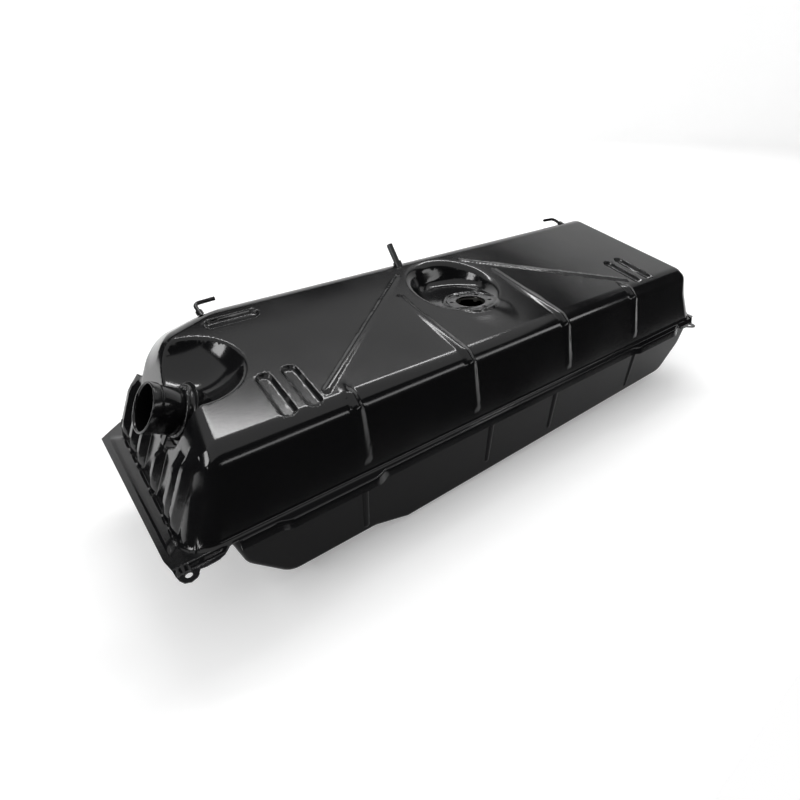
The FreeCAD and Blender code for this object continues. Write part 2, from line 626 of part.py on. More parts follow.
# Sender ring: padded sketch with a polar pattern of screw holes, under the seat.
ring = doc.addObject("PartDesign::Body", "sender_ring")
plane = [f for f in ring.Origin.OriginFeatures if f.Role == "XY_Plane"][0]
ring_sketch = ring.newObject("Sketcher::SketchObject", "RingSketch")
ring_sketch.AttachmentSupport = (plane, [""])
ring_sketch.MapMode = "FlatFace"
for i, rule in enumerate(("Sizes.RingRadius", "Sizes.SenderBore")):
    ring_sketch.addGeometry(Part.Circle(V(0, 0, 0), V(0, 0, 1), 30.0 - 5 * i), False)
    ring_sketch.addConstraint(Sketcher.Constraint("Coincident", i, 3, -1, 1))
    ring_sketch.addConstraint(Sketcher.Constraint("Radius", i, 30.0 - 5 * i))
    ring_sketch.setExpression("Constraints[%d]" % (2 * i + 1), rule)
ring_pad = ring.newObject("PartDesign::Pad", "RingPad")
ring_pad.Profile = ring_sketch
ring_pad.setExpression("Length", "Sizes.RingThick")
hole_sketch = ring.newObject("Sketcher::SketchObject", "RingHoleSketch")
hole_sketch.AttachmentSupport = (plane, [""])
hole_sketch.MapMode = "FlatFace"
hole_sketch.addGeometry(Part.Circle(V(0, 27, 0), V(0, 0, 1), 2.5), False)
hole_sketch.addConstraint(Sketcher.Constraint("PointOnObject", 0, 3, -2))
hole_sketch.addConstraint(Sketcher.Constraint("DistanceY", -1, 1, 0, 3, 27.0))
hole_sketch.setExpression("Constraints[1]", "Sizes.BoltCircle / 2")
hole_sketch.addConstraint(Sketcher.Constraint("Diameter", 0, 5.0))
hole_sketch.setExpression("Constraints[2]", "Sizes.BoltHole")
ring_hole = ring.newObject("PartDesign::Pocket", "RingHole")
ring_hole.Profile = hole_sketch
ring_hole.Type = "ThroughAll"
ring_hole.Reversed = True
ring_holes = ring.newObject("PartDesign::PolarPattern", "RingHoles")
ring_holes.Originals = [ring_hole]
ring_holes.Axis = (hole_sketch, ["N_Axis"])
ring_holes.Angle = 360.0
ring_holes.setExpression("Occurrences", "Sizes.BoltCount")
ring.Tip = ring_holes
RING_FOOT = SEAT - V(0, 0, WALL + size("RingThick"))
at(ring, RING_FOOT)
parts.append(ring)

# Weld nuts under the ring, one to each screw hole.
for i in range(int(size("BoltCount"))):
    turn = math.radians(90 + i * 360 / size("BoltCount"))
    spot = RING_FOOT + V(math.cos(turn), math.sin(turn), 0) * (size("BoltCircle") / 2)
    spot = spot - V(0, 0, size("NutThick"))
    hexagon = add("Part::Prism", "NutBody%d" % (i + 1), Height="Sizes.NutThick",
                  Circumradius="Sizes.NutAcross / sqrt(3)")
    bore = add("Part::Cylinder", "NutBore%d" % (i + 1), Height="Sizes.NutThick * 3",
               Radius="Sizes.NutBore / 2")
    at(hexagon, spot)
    at(bore, spot - V(0, 0, size("NutThick")))
    parts.append(cut("sender_nut_%d" % (i + 1), hexagon, bore))

# Filler neck: straight tube with a bead round its mouth, square to the end wall.
tube = add("Part::Cylinder", "NeckTube", Radius="Sizes.NeckRadius",
           Height="Sizes.NeckLength + Sizes.NeckInside")
at(tube, NECK_ROOT - NECK_AXIS * size("NeckInside"), NECK_AXIS)
mouth = NECK_ROOT + NECK_AXIS * (size("NeckLength") - size("NeckBeadLength"))
bead = add("Part::Cylinder", "NeckMouthBead", Height="Sizes.NeckBeadLength",
           Radius="Sizes.NeckRadius + Sizes.NeckBead")
at(bead, mouth, NECK_AXIS)
passage = add("Part::Cylinder", "NeckPassage", Radius="Sizes.NeckRadius - Sizes.NeckWall",
              Height="2 * (Sizes.NeckLength + Sizes.NeckInside)")
at(passage, NECK_ROOT - NECK_AXIS * (size("NeckInside") * 1.5), NECK_AXIS)
parts.append(cut("filler_neck", fuse("NeckBlank", [tube, bead]), passage))

# Neck collar: turned foot on the end wall and a sleeve round the neck.
sole = add("Part::Cylinder", "CollarSole", Radius="Sizes.CollarRadius",
           Height="Sizes.Sheet")
sleeve = add("Part::Cylinder", "CollarSleeve", Height="Sizes.CollarHeight",
             Radius="Sizes.NeckRadius + Sizes.FitGap + 2 * Sizes.Sheet")
eye = add("Part::Cylinder", "CollarEye", Height="Sizes.CollarHeight * 3",
          Radius="Sizes.NeckRadius + Sizes.FitGap")
at(sole, NECK_ROOT, NECK_AXIS)
at(sleeve, NECK_ROOT, NECK_AXIS)
at(eye, NECK_ROOT - NECK_AXIS * size("CollarHeight"), NECK_AXIS)
parts.append(cut("neck_collar", fuse("CollarBlank", [sole, sleeve]), eye))

# Lug on the underside of the neck.
down = NECK_AXIS.cross(V(0, 1, 0)).normalize()
down = down if down.z < 0 else down * -1
across = NECK_AXIS.cross(down)
lug = add("Part::Box", "LugBlank", Length="Sizes.TabReach + Sizes.NeckWall",
          Width="Sizes.TabWidth", Height="Sizes.TabThick")
lug.Placement = FreeCAD.Placement(
    NECK_ROOT + NECK_AXIS * size("TabRise") + down * (size("NeckRadius") - size("NeckWall"))
    - across * (size("TabWidth") / 2),
    FreeCAD.Rotation(down, across, down.cross(across), "XYZ"))
lug_tube = add("Part::Cylinder", "LugSeat", Radius="Sizes.NeckRadius + Sizes.FitGap",
               Height="Sizes.NeckLength * 2")
at(lug_tube, NECK_ROOT - NECK_AXIS * size("NeckLength"), NECK_AXIS)
parts.append(cut("neck_tab", lug, lug_tube))


def pipe(route, bend, radius):
    """Solid round bar along straight runs joined by tangent arcs."""
    edges = []
    start = route[0]
    for i in range(1, len(route) - 1):
        before = (route[i] - route[i - 1]).normalize()
        after = (route[i + 1] - route[i]).normalize()
        turn = before.getAngle(after)
        back = bend * math.tan(turn / 2)
        enter, leave = route[i] - before * back, route[i] + after * back
        middle = (after - before).normalize()
        middle = route[i] + middle * (bend / math.cos(turn / 2) - bend)
        edges.append(Part.LineSegment(start, enter).toShape())
        edges.append(Part.Arc(enter, middle, leave).toShape())
        start = leave
    edges.append(Part.LineSegment(start, route[-1]).toShape())
    section = Part.Wire(Part.Circle(route[0], route[1] - route[0], radius).toShape())
    return Part.Wire(edges).makePipeShell([section], True, False)


# Vent pipes through the rear bend of the top, each in a brazed boss.
for name, (route, bend, radius) in VENTS.items():
    vent = doc.addObject("Part::Feature", "vent_pipe_%s" % name)
    shape = pipe(route, bend, radius).cut(pipe(route, bend, radius - size("VentWall")))
    vent.Shape = check_solid(shape, vent.Name)
    aim = (route[1] - route[0]).normalize()
    boss = Part.makeCylinder(radius + size("BossThick"), size("BendRadius"), route[0], aim)
    deep = [v.Point for v in Part.Wire(Part.LineSegment(
        route[0], route[0] + aim * FLANGE).toShape()).common(outside).Vertexes]
    surface = max((p - route[0]).Length for p in deep)
    boss = Part.makeCylinder(radius + size("BossThick"), surface + size("BossHeight"),
                             route[0], aim)
    boss = boss.cut(Part.makeCylinder(radius + size("FitGap"), FLANGE, route[0], aim))
    boss = boss.cut(outside)
    ring_boss = doc.addObject("Part::Feature", "vent_boss_%s" % name)
    ring_boss.Shape = check_solid(boss, ring_boss.Name)
    parts += [vent, ring_boss]


def cavity(inset):
    """Space inside both pressings, drawn in from their outsides."""
    high = upper_hull(inset)
    low = lower_solid(inset)
    over = Part.makeBox(2 * FAR, 2 * FAR, FAR, V(-FAR, -FAR, FLANGE))
    under = Part.makeBox(2 * FAR, 2 * FAR, FAR, V(-FAR, -FAR, FLANGE - 2 * WALL - FAR))
    return high.common(low).fuse([high.common(over), low.common(under)])


# Surge baffles: a holed plate with a turned rim that follows the pressings.
fit = WALL + size("BaffleGap")
room, core = cavity(fit), cavity(fit + size("BaffleThick"))
for name, hand in (("left", -1), ("right", 1)):
    x = hand * size("BaffleX")
    plate = Part.makeBox(size("BaffleThick"), 2 * FAR, 2 * FAR, V(x, -FAR, -FAR))
    rim = Part.makeBox(size("BaffleRim"), 2 * FAR, 2 * FAR, V(x, -FAR, -FAR))
    plate = room.common(plate)
    for step in (-1, 0, 1):
        middle = V(x - 10, FRONT + DEPTH / 2 + step * size("BaffleHolePitch"), FLANGE)
        plate = plate.cut(Part.makeCylinder(size("BaffleHole"), 20, middle, V(1, 0, 0)))
    baffle = doc.addObject("Part::Feature", "baffle_%s" % name)
    baffle.Shape = check_solid(plate.fuse(room.common(rim).cut(core)), baffle.Name)
    parts.append(baffle)

# Swirl pot on the floor under the sender opening, open above, with feed slots at its foot.
pot_foot = V(SEAT.x, SEAT.y, WALL + size("PotGap"))
pot_body = add("Part::Cylinder", "PotBody", Radius="Sizes.PotRadius", Height="Sizes.PotHeight")
pot_room = add("Part::Cylinder", "PotRoom", Radius="Sizes.PotRadius - Sizes.PotWall",
               Height="Sizes.PotHeight")
pot_slot = add("Part::Box", "PotSlots", Length="Sizes.PotRadius * 3", Width="Sizes.PotSlot",
               Height="Sizes.PotSlot")
at(pot_body, pot_foot)
at(pot_room, pot_foot + V(0, 0, size("PotWall")))
at(pot_slot, pot_foot + V(-size("PotRadius") * 1.5, -size("PotSlot") / 2, size("PotWall")))
parts.append(cut("swirl_pot", pot_body, fuse("PotOpenings", [pot_room, pot_slot])))

doc.recompute()
for thing in doc.Objects:
    if "Invalid" in thing.State or "Error" in thing.State:
        raise ValueError("%s did not build" % thing.Name)
for part in parts:
    part.Label = part.Name
    shape = part.Shape
    if shape.isNull() or not shape.isValid() or len(shape.Solids) != 1:
        raise ValueError("%s is not one valid solid" % part.Label)
    print(part.Label, round(shape.Volume), shape.BoundBox)

os.makedirs("parts", exist_ok=True)
for part in parts:
    part.Shape.exportStep("parts/%s.step" % part.Label)
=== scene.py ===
import math

import bmesh
import bpy
import numpy as np
from mathutils import Matrix, Vector


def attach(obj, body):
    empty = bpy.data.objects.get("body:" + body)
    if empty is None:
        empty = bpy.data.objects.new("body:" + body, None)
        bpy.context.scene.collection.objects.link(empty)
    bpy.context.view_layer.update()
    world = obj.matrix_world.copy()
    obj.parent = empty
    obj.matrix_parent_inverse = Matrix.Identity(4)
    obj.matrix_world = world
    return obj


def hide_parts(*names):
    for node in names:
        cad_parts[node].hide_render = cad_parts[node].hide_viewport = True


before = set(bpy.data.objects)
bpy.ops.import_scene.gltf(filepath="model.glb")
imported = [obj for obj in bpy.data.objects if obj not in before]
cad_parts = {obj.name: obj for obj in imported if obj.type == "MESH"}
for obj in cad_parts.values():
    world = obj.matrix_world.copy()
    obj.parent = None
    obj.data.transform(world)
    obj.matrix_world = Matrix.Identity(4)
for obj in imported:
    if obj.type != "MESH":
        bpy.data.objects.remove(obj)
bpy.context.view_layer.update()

# Studio.
# Not part of the tank: a white paper table top that ends in front, so that the tank's front
# wall mirrors a dark room, and a backdrop of the same paper that curves up behind and on the right.
FLOOR_LEFT, FLOOR_RIGHT, FLOOR_FRONT, FLOOR_BACK = -2.4, 4.6, -0.50, 3.4
CORNER_BEND, FLOOR_BEND, BACKDROP_HEIGHT = 1.5, 0.9, 3.0
BEND_STEPS = 12

paper_mesh = bmesh.new()
paper_edge = [(FLOOR_LEFT, FLOOR_BACK)]
for step in range(BEND_STEPS + 1):
    angle = math.radians(90 - 90 * step / BEND_STEPS)
    paper_edge.append((FLOOR_RIGHT - CORNER_BEND + CORNER_BEND * math.cos(angle),
                       FLOOR_BACK - CORNER_BEND + CORNER_BEND * math.sin(angle)))
paper_edge.append((FLOOR_RIGHT, FLOOR_FRONT))
fold = [paper_mesh.verts.new((x, y, 0)) for x, y in paper_edge]
paper_mesh.faces.new(fold[::-1] + [paper_mesh.verts.new((FLOOR_LEFT, FLOOR_FRONT, 0))])
away = [Vector((0, 1, 0))] * 2
away += [Vector((x - FLOOR_RIGHT + CORNER_BEND, y - FLOOR_BACK + CORNER_BEND, 0)).normalized()
         for x, y in paper_edge[2:-1]]
away.append(Vector((1, 0, 0)))
chord = 2 * FLOOR_BEND * math.sin(math.radians(90 / (2 * BEND_STEPS)))
curve = [(chord * math.cos(math.radians(90 * (i + 0.5) / BEND_STEPS)),
          chord * math.sin(math.radians(90 * (i + 0.5) / BEND_STEPS))) for i in range(BEND_STEPS)]
paper_rim = [paper_mesh.edges.get(pair) for pair in zip(fold, fold[1:])]
for out, up in curve + [(0, BACKDROP_HEIGHT)]:
    grown = bmesh.ops.extrude_edge_only(paper_mesh, edges=paper_rim)["geom"]
    fresh = [v for v in grown if isinstance(v, bmesh.types.BMVert)]
    paper_rim = [e for e in grown if isinstance(e, bmesh.types.BMEdge)
                 and e.verts[0] in fresh and e.verts[1] in fresh]
    for v in fresh:
        nearest = min(range(len(fold)), key=lambda i: (v.co.xy - fold[i].co.xy).length)
        v.co += away[nearest] * out + Vector((0, 0, up))
for face in paper_mesh.faces:
    face.smooth = len(face.verts) == 4
floor = bpy.data.objects.new("floor", bpy.data.meshes.new("floor"))
paper_mesh.to_mesh(floor.data)
paper_mesh.free()
bpy.context.scene.collection.objects.link(floor)

floor_paper = bpy.data.materials.new("floor_paper")
floor_paper.use_nodes = True
paper = floor_paper.node_tree.nodes["Principled BSDF"]
paper.inputs["Base Color"].default_value = (0.88, 0.88, 0.88, 1)
paper.inputs["Roughness"].default_value = 0.9
paper.inputs["Specular IOR Level"].default_value = 0.1
# The camera and mirrors see the paper whiter than it lights the tank; its shadow stays.
paper_nodes, paper_links = floor_paper.node_tree.nodes, floor_paper.node_tree.links
ray = paper_nodes.new("ShaderNodeLightPath")
seen = paper_nodes.new("ShaderNodeMath")
seen.operation = "MAXIMUM"
paper_links.new(ray.outputs["Is Camera Ray"], seen.inputs[0])
paper_links.new(ray.outputs["Is Glossy Ray"], seen.inputs[1])
lift = paper_nodes.new("ShaderNodeMath")
lift.operation = "MULTIPLY"
lift.inputs[1].default_value = 0.25
paper_links.new(seen.outputs["Value"], lift.inputs[0])
paper.inputs["Emission Color"].default_value = (1, 1, 1, 1)
paper_links.new(lift.outputs["Value"], paper.inputs["Emission Strength"])
floor.data.materials.append(floor_paper)

room = bpy.data.worlds.new("room")
room.use_nodes = True
# The room is dark, but the camera sees white past the table and the backdrop.
room_nodes, room_links = room.node_tree.nodes, room.node_tree.links
room_ray = room_nodes.new("ShaderNodeLightPath")
room_light = room_nodes.new("ShaderNodeMapRange")
room_light.inputs["To Min"].default_value = 0.03
room_light.inputs["To Max"].default_value = 1.0
room_links.new(room_ray.outputs["Is Camera Ray"], room_light.inputs["Value"])
room_nodes["Background"].inputs["Color"].default_value = (1, 1, 1, 1)
room_links.new(room_light.outputs["Result"], room_nodes["Background"].inputs["Strength"])
bpy.context.scene.world = room

# Name, power in watts, place, what it looks at, width and depth.
for lamp, power, place, aim, width, depth in (
        ("overhead", 36.0, (0.3, 0.1, 2.3), (0.3, 0.1, 0), 4.4, 3.4),
        ("left_panel", 26.0, (-2.4, -0.1, 1.84), (-0.3, -0.05, 0.15), 0.9, 0.9),
        ("front_panel", 14.0, (1.3, -2.4, 1.35), (0.1, -0.1, 0.15), 3.2, 0.35),
        ("corner_card", 5.0, (-1.9, -0.95, 0.85), (-0.44, -0.13, 0.18), 0.4, 0.4),
        ("backdrop_wash", 130.0, (1.2, 1.2, 3.2), (2.2, 3.6, 0.4), 3.0, 0.6)):
    light = bpy.data.lights.new(lamp, "AREA")
    light.shape = "RECTANGLE"
    light.size, light.size_y = width, depth
    light.energy = power
    lamp_object = bpy.data.objects.new(lamp, light)
    lamp_object.location = place
    lamp_object.rotation_euler = (Vector(place) - Vector(aim)).to_track_quat("Z", "Y").to_euler()
    bpy.context.scene.collection.objects.link(lamp_object)

# Camera, solved from the straight edges and the paired beads of the photograph.
camera = bpy.data.cameras.new("camera")
camera.sensor_width = 36.0
camera.lens = 22.984
camera.shift_x, camera.shift_y = -0.0105, 0.00225
camera.clip_start, camera.clip_end = 0.02, 50.0
camera_object = bpy.data.objects.new("camera", camera)
camera_object.location = (-0.471458, -0.508246, 0.461528)
camera_object.rotation_euler = [math.radians(a) for a in (58.7041, 1.8054, -37.1174)]
bpy.context.scene.collection.objects.link(camera_object)
bpy.context.scene.camera = camera_object
bpy.context.scene.view_settings.view_transform = "Standard"

# Upper pressing.
# Deep-drawn steel sheet, 1.2 mm, that carries the sender seat, the stiffening beads, the
# hollows round the filler neck and the flange by which the tank is seamed and bolted up.
# It is dipped and sprayed in a thick gloss black that flows over every edge.
# Its shape is worked out in millimetres: x along the tank, y back from the root of the front
# wall, and z up from the flange.
SHEET = 1.2
FLANGE_RISE, FRONT_ROOT = 109.0, -130.0
LEFT_ROOT, RIGHT_ROOT, REAR_ROOT = -447.0, 427.0, 267.0
LEFT_LEAN, RIGHT_LEAN = math.tan(math.radians(26)), math.tan(math.radians(15.5))
FRONT_LEAN, REAR_LEAN = math.tan(math.radians(13.6)), math.tan(math.radians(6))
TOP_SLOPE = math.tan(math.radians(14.2))
BEVEL_BACK, BEVEL_RISE = 74.2 * FRONT_LEAN, 74.2
BEVEL_RUN, BEVEL_CLIMB = 13.0, 10.7
TOP_BACK, TOP_RISE = BEVEL_BACK + BEVEL_RUN, 84.9
REAR_TOP = REAR_ROOT - (TOP_RISE + (REAR_ROOT - TOP_BACK) * TOP_SLOPE) * REAR_LEAN
SHOULDER_START = (-326.0, 229.0)
SHOULDER_LEFT, SHOULDER_REAR = math.tan(math.radians(15)), math.tan(math.radians(20))
REAR_BEND, EDGE_BEND, TOP_EDGE_BEND = 30.0, 5.0, 2.8
CORNER_TOP_BEND, CORNER_GROWTH, CORNER_DEPTH = 15.0, 12.0, 42.0


def top_rise(back):
    """Height of the sloping top above the flange."""
    return TOP_RISE + (back - TOP_BACK) * TOP_SLOPE


def on_top(x, back, lift=0.0):
    """Point of the flat top, lifted square to it."""
    length = math.hypot(1, TOP_SLOPE)
    return np.array([x, back - lift * TOP_SLOPE / length, top_rise(back) + lift / length])


def convex(a, b, bend):
    """Both at once, with their shared edge rounded."""
    ring = np.hypot(np.maximum(a + bend, 0), np.maximum(b + bend, 0))
    return np.minimum(np.maximum(a, b), -bend) + ring


def concave(a, b, bend):
    """Either one, with a fillet in the corner between them."""
    return -convex(-a, -b, bend)


def bar(x, y, z, points, radius):
    """Round bar through some points."""
    nearest = None
    for start, end in zip(points, points[1:]):
        start, run = np.array(start, float), np.array(end, float) - start
        px, py, pz = x - start[0], y - start[1], z - start[2]
        along = np.clip((px * run[0] + py * run[1] + pz * run[2]) / (run @ run), 0, 1)
        off = np.sqrt((px - along * run[0]) ** 2 + (py - along * run[1]) ** 2
                      + (pz - along * run[2]) ** 2)
        nearest = off if nearest is None else np.minimum(nearest, off)
    return nearest - radius


def plain_box(x, y, z, soft):
    """The pressing before its details are struck: walls, bevel, sloped top and shoulder."""
    front = (z * FRONT_LEAN - y) / math.hypot(1, FRONT_LEAN)
    bevel = (z - BEVEL_RISE) * BEVEL_RUN - (y - BEVEL_BACK) * BEVEL_CLIMB
    bevel = bevel / math.hypot(BEVEL_RUN, BEVEL_CLIMB)
    top = (z - top_rise(y)) / math.hypot(1, TOP_SLOPE)
    rear = (y - REAR_ROOT + z * REAR_LEAN) / math.hypot(1, REAR_LEAN)
    left = (LEFT_ROOT + z * LEFT_LEAN - x) / math.hypot(1, LEFT_LEAN)
    right = (x - RIGHT_ROOT + z * RIGHT_LEAN) / math.hypot(1, RIGHT_LEAN)
    start = on_top(*SHOULDER_START)
    shoulder = z - start[2] - SHOULDER_LEFT * (x - start[0]) + SHOULDER_REAR * (y - start[1])
    shoulder = shoulder / math.hypot(1, math.hypot(SHOULDER_LEFT, SHOULDER_REAR))
    body = convex(convex(front, bevel, EDGE_BEND + soft), top, TOP_EDGE_BEND + soft)
    body = convex(convex(body, rear, REAR_BEND), shoulder, EDGE_BEND + soft)
    # The upright corners are rounder lower down.
    deep = np.clip(-top / CORNER_DEPTH, 0, 1)
    bend = CORNER_TOP_BEND + CORNER_GROWTH * deep * deep * (3 - 2 * deep) + soft
    body = convex(body, left, bend)
    return convex(body, right, bend - 2), left


SLOT_HALF_WIDTH, SLOT_DEPTH, SLOT_TAPER = 9.0, 4.4, 0.5


def slot(x, y, z, start, end):
    """Everything outside a flat-bottomed slot in the top with round ends and steep sides."""
    start, end = on_top(*start), on_top(*end)
    under = -(z - top_rise(y)) / math.hypot(1, TOP_SLOPE)
    across = np.sqrt(np.maximum(bar(x, y, z, [start, end], 0.0) ** 2 - under ** 2, 0))
    side = (across - SLOT_HALF_WIDTH + SLOT_TAPER * under) / math.hypot(1, SLOT_TAPER)
    return -convex(side, under - SLOT_DEPTH, 2.0)


SEAT = np.array([2.0, 117.0, 98.97])
NECK_ROOT = np.array([-396.0, 117.4, 78.8])
NECK_TILT, NECK_TURN = math.radians(31.8), math.radians(2.6)
NECK_AXIS = np.array([-math.cos(NECK_TILT) * math.cos(NECK_TURN),
                      -math.cos(NECK_TILT) * math.sin(NECK_TURN), math.sin(NECK_TILT)])
# Ribs of the end wall: (place from the front, rise of the tip). Their flanks stand at 45 degrees.
END_RIBS = [(40, 76), (62, 66), (114, 51), (169, 50), (205, 60), (246, 70)]
RIB_DEPTH, RIB_WIDTH, RIB_TIP, RIB_FLANK = 7.2, 9.0, 10.0, 1.414
# Hollows: the scoop is part of a ball, the pocket a short cylinder, the bowl a cone.
SCOOP_CENTRE, SCOOP_HEIGHT, SCOOP_REACH = (-375.0, 140.0), 45.0, 56.0
HOSE_POCKET = 37.0
BOWL_BACK, BOWL_FOOT, BOWL_FLARE = 148.0, 54.0, 14 / 34
SEAT_RADIUS, SKIRT_DROP, SKIRT_RUN, SKIRT_DEPTH = 39.0, 16, 37, 16
SEAT_BEAD_RADIUS, SEAT_BEAD_HEIGHT = 36.0, 3.0
BEAD_RADIUS, BEAD_SINK = 10.0, 7.0
# Beads over the front edge: (distance from the middle, rear end).
CROSS_BEADS = ((249.6, 46.0), (88.7, 158.0))
DIAGONAL_RADIUS = 6.2
DIAGONAL_FRONT, DIAGONAL_REAR = (268.0, 46.0, -4.1), (60.5, 203.0, -5.6)
SLOT_PLACES, SLOT_REAR, SLOT_FRONT = (315.0, 286.0), 92.0, 40.0
SHOULDER_SLOT = (-324.0, 206.0), (-276.0, 206.0)


def pressing(x, y, z):
    """The struck pressing: below zero inside, above zero outside, in millimetres."""
    body, left = plain_box(x, y, z, 0.0)
    # Upright ribs on the end wall.
    out = RIB_DEPTH * math.hypot(1, LEFT_LEAN)
    for back, tip in END_RIBS:
        ahead = y - back
        rib = convex((left - RIB_DEPTH - ahead) / RIB_FLANK,
                     (left - RIB_DEPTH - RIB_WIDTH + ahead) / RIB_FLANK, 1.0)
        rib = convex(rib, left - RIB_DEPTH, 1.0)
        tip_x = LEFT_ROOT + tip * LEFT_LEAN
        slope = (tip_x - x) * RIB_TIP + (z - tip) * (out + RIB_TIP * LEFT_LEAN)
        slope = slope / math.hypot(RIB_TIP, out + RIB_TIP * LEFT_LEAN)
        rib = convex(rib, slope, 3.0)
        rib = convex(rib, LEFT_ROOT - 2.0 - x, 5.0)
        rib = convex(rib, -1.5 - left, 0.5)
        body = concave(body, rib, 1.0)
    # Scoop in the top and the round pocket that clears the hose at the neck.
    centre = on_top(*SCOOP_CENTRE, SCOOP_HEIGHT)
    ball = np.sqrt((x - centre[0]) ** 2 + (y - centre[1]) ** 2 + (z - centre[2]) ** 2)
    body = convex(body, math.hypot(SCOOP_REACH, SCOOP_HEIGHT) - ball, 2.5)
    px, py, pz = x - NECK_ROOT[0], y - NECK_ROOT[1], z - NECK_ROOT[2]
    along = px * NECK_AXIS[0] + py * NECK_AXIS[1] + pz * NECK_AXIS[2]
    off = np.sqrt(np.maximum(px * px + py * py + pz * pz - along * along, 0))
    body = convex(body, -convex(off - HOSE_POCKET, -along, 3.0), 2.5)
    # Sender bowl, the skirt that rises in it, the flat seat and the bead round that.
    bowl_off = np.hypot(x - SEAT[0], y - BOWL_BACK)
    flare = (bowl_off - BOWL_FOOT - (z - SEAT[2]) * BOWL_FLARE) / math.hypot(1, BOWL_FLARE)
    body = convex(body, -convex(flare, SEAT[2] - z, 9.0), 7.0)
    seat_off = np.hypot(x - SEAT[0], y - SEAT[1])
    skirt = (seat_off - SEAT_RADIUS) * SKIRT_DROP + (z - SEAT[2]) * SKIRT_RUN
    skirt = skirt / math.hypot(SKIRT_DROP, SKIRT_RUN)
    skirt = convex(skirt, SEAT[2] - SKIRT_DEPTH - z, 1.0)
    body = concave(body, convex(z - SEAT[2], skirt, 3.0), 5.0)
    bead = np.hypot(seat_off - SEAT_BEAD_RADIUS, z - SEAT[2]) - SEAT_BEAD_HEIGHT
    body = concave(body, bead, 1.5)
    # Cross beads over the front edge.
    for side in (-1, 1):
        for bead_x, end in CROSS_BEADS:
            path = [(side * bead_x, 14 * FRONT_LEAN + BEAD_SINK + 3, 14.0),
                    (side * bead_x, BEVEL_BACK + 5.6, BEVEL_RISE - 4.6),
                    (side * bead_x, TOP_BACK + 1.8, TOP_RISE - 7.2),
                    on_top(side * bead_x, end, -BEAD_SINK - 3.0)]
            body = concave(body, bar(x, y, z, path, BEAD_RADIUS), 1.6)
        # Diagonal ribs that run out towards the rear.
        path = [on_top(side * end_x, *rest) for end_x, *rest in (DIAGONAL_FRONT, DIAGONAL_REAR)]
        body = concave(body, bar(x, y, z, path, DIAGONAL_RADIUS), 1.2)
        # Slots that reach the front edge.
        for slot_x in SLOT_PLACES:
            ends = (side * slot_x, SLOT_REAR), (side * slot_x, SLOT_FRONT)
            body = convex(body, slot(x, y, z, *ends), 1.0)
    # One slot lies along the rear edge, by the shoulder.
    return convex(body, slot(x, y, z, *SHOULDER_SLOT), 1.0)


# Grid lines of the tray, closer together where the pressing is busy: (from, spacing up to the
# next row). The last row is the end.
LINES_X = [(-447, 4.4), (-330, 4.0), (-236, 5.4), (-102, 4.0), (102, 5.4), (236, 4.0),
           (330, 5.4), (427, 5.4)]
LINES_Y = [(0, 4.2), (216, 4.6), (267, 4.6)]


def line_places(table):
    """Places from -1 to 1 of the grid lines."""
    marks = np.array([row[0] for row in table], float)
    steps = np.diff(marks) / np.array([row[1] for row in table[:-1]])
    total = np.concatenate([[0], np.cumsum(steps)])
    count = int(round(total[-1]))
    places = np.interp(np.linspace(0, total[-1], count + 1), total, marks)
    return (places - marks[0]) / (marks[-1] - marks[0]) * 2 - 1


across, along_y = line_places(LINES_X), line_places(LINES_Y)
# Rings of cells round the tray: the bevel, the wall, the flange with each ring's share of its
# width, and the lip with each ring's drop.
BEVEL_RINGS, WALL_RINGS = 5, 16
FLANGE_RINGS = (0.12, 0.26, 0.45, 0.62, 0.70, 1.0)
LIP_FROM, LIP_TO = -0.895, 0.868
LIP_BEND, LIP_LEAN = 2.0, 0.28
LIP_DROPS = (0.2, 0.7, 2.0, 5.0, 8.5, 10.0)

tray = bmesh.new()
bmesh.ops.create_grid(tray, x_segments=len(across) - 1, y_segments=len(along_y) - 1, size=1.0)
for v in tray.verts:
    v.co.x = across[int(round((v.co.x + 1) / 2 * (len(across) - 1)))]
    v.co.y = along_y[int(round((v.co.y + 1) / 2 * (len(along_y) - 1)))]
rim = [e for e in tray.edges if e.is_boundary]
ring_count = BEVEL_RINGS + WALL_RINGS + len(FLANGE_RINGS)
for ring in range(1, ring_count + len(LIP_DROPS) + 1):
    if ring == ring_count + 1:
        rim = [e for e in rim
               if all(v.co.y == -1 and LIP_FROM < v.co.x < LIP_TO for v in e.verts)]
    grown = bmesh.ops.extrude_edge_only(tray, edges=rim)["geom"]
    fresh = {v for v in grown if isinstance(v, bmesh.types.BMVert)}
    rim = [e for e in grown if isinstance(e, bmesh.types.BMEdge)
           and e.verts[0] in fresh and e.verts[1] in fresh]
    for v in fresh:
        v.co.z = -ring

# Outline of the flange, ears included: (way round the root, x, back). The way round runs 0 to 1
# along the front, 1 to 2 up the right end, 2 to 3 along the rear, and -1 to 0 down the left end.
EAR_LEFT, EAR_RIGHT, EAR_BACK, EAR_RADIUS, EAR_DROP = -450.5, 397.0, -11.5, 9.0, 5.0
ear = [((angle - 180) / 180, EAR_RADIUS * math.cos(math.radians(angle)),
        EAR_BACK + EAR_RADIUS * math.sin(math.radians(angle))) for angle in range(180, 361, 30)]
OUTLINE = [(-0.95, -472.0, 265.0), (-0.112, -464.5, 14.0)]
OUTLINE += [(-0.05 + share * 0.07, EAR_LEFT + out, back) for share, out, back in ear]
OUTLINE += [(0.034, -423.5, -11.0), (0.046, -410.0, -5.0), (0.0984, -361.0, -5.0),
            (0.1098, -351.0, -10.0), (0.23, -246.0, -10.0), (0.2414, -236.0, -5.0),
            (0.7815, 236.0, -5.0), (0.7929, 246.0, -10.0), (0.913, 351.0, -10.0),
            (0.9245, 361.0, -5.0), (0.934, 368.0, -5.0), (0.944, 377.7, -11.0)]
OUTLINE += [(0.952 + share * 0.034, EAR_RIGHT + out, back) for share, out, back in ear]
